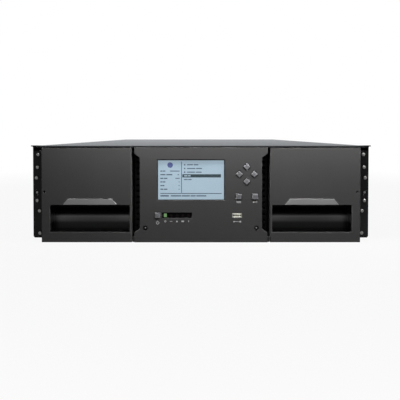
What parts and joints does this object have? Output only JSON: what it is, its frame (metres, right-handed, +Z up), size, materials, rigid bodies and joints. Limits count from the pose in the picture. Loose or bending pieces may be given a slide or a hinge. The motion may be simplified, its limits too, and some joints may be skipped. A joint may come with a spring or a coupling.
{
  "type": "data tape library",
  "caption": "Rack-mounted data tape library with two pull-out magazines, an operator panel with a display and keys, and an inner robot that serves tape drives",
  "frame": {"origin": "middle of the bounding box, at the underside of the pan", "axes": "+X to the right seen from the front, +Y from the fascia to the rear, +Z up"},
  "size_m": [0.48, 0.89, 0.1333],
  "materials": {
    "zinc_sheet": "satin galvanised sheet with folded edges",
    "cover_steel": "smooth light grey coated steel",
    "black_steel": "fine-textured black powder coat",
    "bright_screws": "bright zinc plate",
    "dark_moulding": "fine spark-eroded charcoal moulding",
    "inlet_black": "matte black",
    "display_panel": "lit pale blue display in a black frame",
    "window": "clear hard-coated window",
    "circuit_board": "green solder mask",
    "lamp_green": "translucent lamp lenses",
    "port_metal": "nickel-plated connector shells",
    "key_grey": "mid grey key caps",
    "tab_grey": "grey moulded grip tab",
    "tray_plastic": "black moulded plastic",
    "cartridge_shell": "fine-textured dark cartridge shell",
    "nylon": "natural low-friction nylon",
    "lock_metal": "plated steel",
    "shaft_steel": "ground steel",
    "motor_black": "black motor can",
    "belt_rubber": "black toothed belt",
    "drive_grey": "dark grey coated steel",
    "supply_steel": "plain plated steel sheet",
    "fan_black": "black fan rotor"
  },
  "bodies": {
    "chassis": {"chassis_pan": "zinc_sheet", "top_cover": "cover_steel", "cover_screws": "bright_screws", "front_frame": "black_steel", "rear_panel": "zinc_sheet", "rear_thumbscrews": "bright_screws", "left_rack_ear": "black_steel", "right_rack_ear": "black_steel", "ear_screws": "bright_screws", "operator_panel": "dark_moulding", "panel_screws": "bright_screws", "side_inlet_grilles": "inlet_black", "display": "display_panel", "display_window": "window", "panel_board": "circuit_board", "lamp_window": "inlet_black", "status_lamps": "lamp_green", "data_port": "port_metal", "magazine_runners": "nylon", "magazine_locks": "lock_metal", "lift_racks": "nylon", "drive_cage": "zinc_sheet", "controller": "supply_steel", "controller_ports": "port_metal", "backplane": "circuit_board"},
    "left_tray": {"left_door": "dark_moulding", "left_grip_tab": "tab_grey", "left_magazine": "tray_plastic", "left_cartridges": "cartridge_shell"},
    "right_tray": {"right_door": "dark_moulding", "right_grip_tab": "tab_grey", "right_magazine": "tray_plastic", "right_cartridges": "cartridge_shell"},
    "up_button": {"up_key": "key_grey"},
    "down_button": {"down_key": "key_grey"},
    "left_button": {"left_key": "key_grey"},
    "right_button": {"right_key": "key_grey"},
    "menu_button": {"menu_key": "key_grey"},
    "enter_button": {"enter_key": "key_grey"},
    "power_button": {"power_key": "key_grey"},
    "lift": {"lift_frame": "zinc_sheet", "lift_motor": "motor_black", "lift_belt": "belt_rubber"},
    "left_shaft": {"left_lift_shaft": "shaft_steel", "left_lift_gears": "nylon"},
    "right_shaft": {"right_lift_shaft": "shaft_steel", "right_lift_gears": "nylon"},
    "carriage_body": {"carriage": "zinc_sheet", "turn_motor": "motor_black"},
    "pinion_body": {"turn_pinion": "shaft_steel"},
    "picker_body": {"turntable": "nylon", "picker": "tray_plastic"},
    "slide_body": {"picker_slide": "shaft_steel"},
    "gripper_body": {"gripper": "shaft_steel"},
    "drive_sled_1": {"drive_1": "drive_grey"},
    "drive_sled_2": {"drive_2": "drive_grey"},
    "drive_sled_3": {"drive_3": "drive_grey"},
    "upper_supply": {"upper_power_supply": "supply_steel"},
    "lower_supply": {"lower_power_supply": "supply_steel"},
    "upper_rotor": {"upper_fan": "fan_black"},
    "lower_rotor": {"lower_fan": "fan_black"}
  },
  "joints": [
    {"name": "left_magazine_slide", "type": "slide", "parent": "chassis", "child": "left_tray", "axis": [0, -1, 0], "range_m": [0, 0.54]},
    {"name": "right_magazine_slide", "type": "slide", "parent": "chassis", "child": "right_tray", "axis": [0, -1, 0], "range_m": [0, 0.54]},
    {"name": "up_key_press", "type": "slide", "parent": "chassis", "child": "up_button", "axis": [0, 1, 0], "range_m": [0, 0.0008], "stiffness_N_per_m": 900},
    {"name": "down_key_press", "type": "slide", "parent": "chassis", "child": "down_button", "axis": [0, 1, 0], "range_m": [0, 0.0008], "stiffness_N_per_m": 900},
    {"name": "left_key_press", "type": "slide", "parent": "chassis", "child": "left_button", "axis": [0, 1, 0], "range_m": [0, 0.0008], "stiffness_N_per_m": 900},
    {"name": "right_key_press", "type": "slide", "parent": "chassis", "child": "right_button", "axis": [0, 1, 0], "range_m": [0, 0.0008], "stiffness_N_per_m": 900},
    {"name": "menu_key_press", "type": "slide", "parent": "chassis", "child": "menu_button", "axis": [0, 1, 0], "range_m": [0, 0.0008], "stiffness_N_per_m": 900},
    {"name": "enter_key_press", "type": "slide", "parent": "chassis", "child": "enter_button", "axis": [0, 1, 0], "range_m": [0, 0.0008], "stiffness_N_per_m": 900},
    {"name": "power_key_press", "type": "slide", "parent": "chassis", "child": "power_button", "axis": [0, 1, 0], "range_m": [0, 0.0008], "stiffness_N_per_m": 900},
    {"name": "lift_travel", "type": "slide", "parent": "chassis", "child": "lift", "axis": [0, 0, 1], "range_m": [0, 0.0795]},
    {"name": "left_shaft_turn", "type": "hinge", "parent": "lift", "child": "left_shaft", "pos_m": [-0.0862, 0, 0.0095], "axis": [0, 1, 0], "range_deg": [-900, 900]},
    {"name": "right_shaft_turn", "type": "hinge", "parent": "lift", "child": "right_shaft", "pos_m": [0.0862, 0, 0.0095], "axis": [0, 1, 0], "range_deg": [-900, 900]},
    {"name": "carriage_travel", "type": "slide", "parent": "lift", "child": "carriage_body", "axis": [0, 1, 0], "range_m": [0, 0.424]},
    {"name": "picker_turn", "type": "hinge", "parent": "carriage_body", "child": "picker_body", "pos_m": [0, -0.3308, 0.01], "axis": [0, 0, 1], "range_deg": [-90, 90]},
    {"name": "pinion_turn", "type": "hinge", "parent": "carriage_body", "child": "pinion_body", "pos_m": [0, -0.38035, 0.01], "axis": [0, 0, 1], "range_deg": [-720, 720]},
    {"name": "gripper_reach", "type": "slide", "parent": "picker_body", "child": "gripper_body", "axis": [0, 1, 0], "range_m": [0, 0.1484]},
    {"name": "slide_reach", "type": "slide", "parent": "picker_body", "child": "slide_body", "axis": [0, 1, 0], "range_m": [0, 0.0742]},
    {"name": "drive_1_slide", "type": "slide", "parent": "chassis", "child": "drive_sled_1", "axis": [0, 1, 0], "range_m": [0, 0.2]},
    {"name": "drive_2_slide", "type": "slide", "parent": "chassis", "child": "drive_sled_2", "axis": [0, 1, 0], "range_m": [0, 0.2]},
    {"name": "drive_3_slide", "type": "slide", "parent": "chassis", "child": "drive_sled_3", "axis": [0, 1, 0], "range_m": [0, 0.2]},
    {"name": "upper_supply_slide", "type": "slide", "parent": "chassis", "child": "upper_supply", "axis": [0, 1, 0], "range_m": [0, 0.22]},
    {"name": "lower_supply_slide", "type": "slide", "parent": "chassis", "child": "lower_supply", "axis": [0, 1, 0], "range_m": [0, 0.22]},
    {"name": "upper_fan_spin", "type": "hinge", "parent": "upper_supply", "child": "upper_rotor", "pos_m": [-0.1868, 0.435, 0.09656], "axis": [0, 1, 0], "continuous": true},
    {"name": "lower_fan_spin", "type": "hinge", "parent": "lower_supply", "child": "lower_rotor", "pos_m": [-0.1868, 0.435, 0.03209], "axis": [0, 1, 0], "continuous": true}
  ],
  "couplings": [
    {"joint": "right_shaft_turn", "follows": "lift_travel", "rad_per_m": 166.67},
    {"joint": "left_shaft_turn", "follows": "lift_travel", "rad_per_m": -166.67},
    {"joint": "pinion_turn", "follows": "picker_turn", "ratio": -6.8571},
    {"joint": "slide_reach", "follows": "gripper_reach", "ratio": 0.5}
  ]
}
